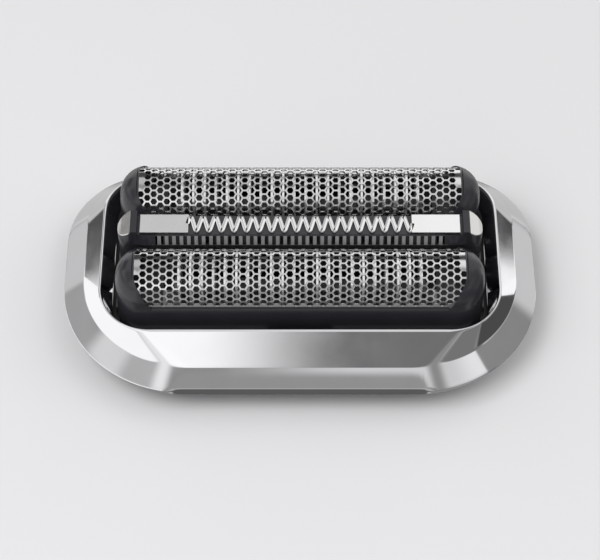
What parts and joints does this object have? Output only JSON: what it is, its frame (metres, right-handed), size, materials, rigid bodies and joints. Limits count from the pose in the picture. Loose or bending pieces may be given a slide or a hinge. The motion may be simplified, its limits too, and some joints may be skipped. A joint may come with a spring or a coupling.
{
  "type": "shaver foil head",
  "caption": "Clip-on foil shaver head: arched foils and a comb trimmer float on springs in a bright oval bezel, over cutters that one bridge slides sideways.",
  "frame": {"origin": "middle of the plug's bottom rim, the lowest face, centred on the head", "axes": "+Z the way the head shaves, X along the foils, front at -Y"},
  "size_m": [0.066, 0.0373, 0.0194],
  "materials": {
    "bright_plate": "polished plating on plastic",
    "dark_gloss_plastic": "gloss",
    "black_plastic": "fine texture",
    "foil_steel": "bright sheet",
    "dark_steel": "dark satin",
    "polished_steel": "polished",
    "blade_steel": "ground",
    "drive_plastic": "moulded",
    "spring_steel": "drawn wire"
  },
  "bodies": {
    "frame": {"bezel": "bright_plate", "chassis": "black_plastic", "base_frame": "black_plastic"},
    "front_foil_unit": {"front_foil_frame": "dark_gloss_plastic", "front_foil": "foil_steel"},
    "rear_foil_unit": {"rear_foil_frame": "dark_gloss_plastic", "rear_foil": "foil_steel"},
    "trimmer_unit": {"trimmer_frame": "dark_gloss_plastic", "trimmer_guard": "dark_steel"},
    "drive": {"drive_bridge": "drive_plastic", "front_cutter_springs": "spring_steel", "rear_cutter_springs": "spring_steel", "trimmer_springs": "spring_steel"},
    "front_cutter": {"front_cutter_block": "drive_plastic", "front_cutter_blades": "blade_steel"},
    "rear_cutter": {"rear_cutter_block": "drive_plastic", "rear_cutter_blades": "blade_steel"},
    "trimmer_cutter": {"trimmer_slider": "drive_plastic", "trimmer_inner_cutter": "blade_steel", "trimmer_lifting_blade": "polished_steel"}
  },
  "joints": [
    {"name": "front_foil_float", "type": "slide", "parent": "frame", "child": "front_foil_unit", "axis": [0, 0, 1], "range_m": [-0.0015, 0], "stiffness_N_per_m": 250, "springref_m": 0.0025, "deforming": ["front_cutter_springs"]},
    {"name": "rear_foil_float", "type": "slide", "parent": "frame", "child": "rear_foil_unit", "axis": [0, 0, 1], "range_m": [-0.0015, 0], "stiffness_N_per_m": 250, "springref_m": 0.0025, "deforming": ["rear_cutter_springs"]},
    {"name": "trimmer_float", "type": "slide", "parent": "frame", "child": "trimmer_unit", "axis": [0, 0, 1], "range_m": [-0.0015, 0], "stiffness_N_per_m": 250, "springref_m": 0.0025, "deforming": ["trimmer_springs"]},
    {"name": "bridge_drive", "type": "slide", "parent": "frame", "child": "drive", "axis": [1, 0, 0], "range_m": [-0.0011, 0.0011]},
    {"name": "front_cutter_drive", "type": "slide", "parent": "front_foil_unit", "child": "front_cutter", "axis": [1, 0, 0], "range_m": [-0.0011, 0.0011]},
    {"name": "rear_cutter_drive", "type": "slide", "parent": "rear_foil_unit", "child": "rear_cutter", "axis": [1, 0, 0], "range_m": [-0.0011, 0.0011]},
    {"name": "trimmer_cutter_drive", "type": "slide", "parent": "trimmer_unit", "child": "trimmer_cutter", "axis": [1, 0, 0], "range_m": [-0.0011, 0.0011]}
  ],
  "couplings": [
    {"joint": "front_cutter_drive", "follows": "bridge_drive", "ratio": 1},
    {"joint": "rear_cutter_drive", "follows": "bridge_drive", "ratio": 1},
    {"joint": "trimmer_cutter_drive", "follows": "bridge_drive", "ratio": 1}
  ]
}
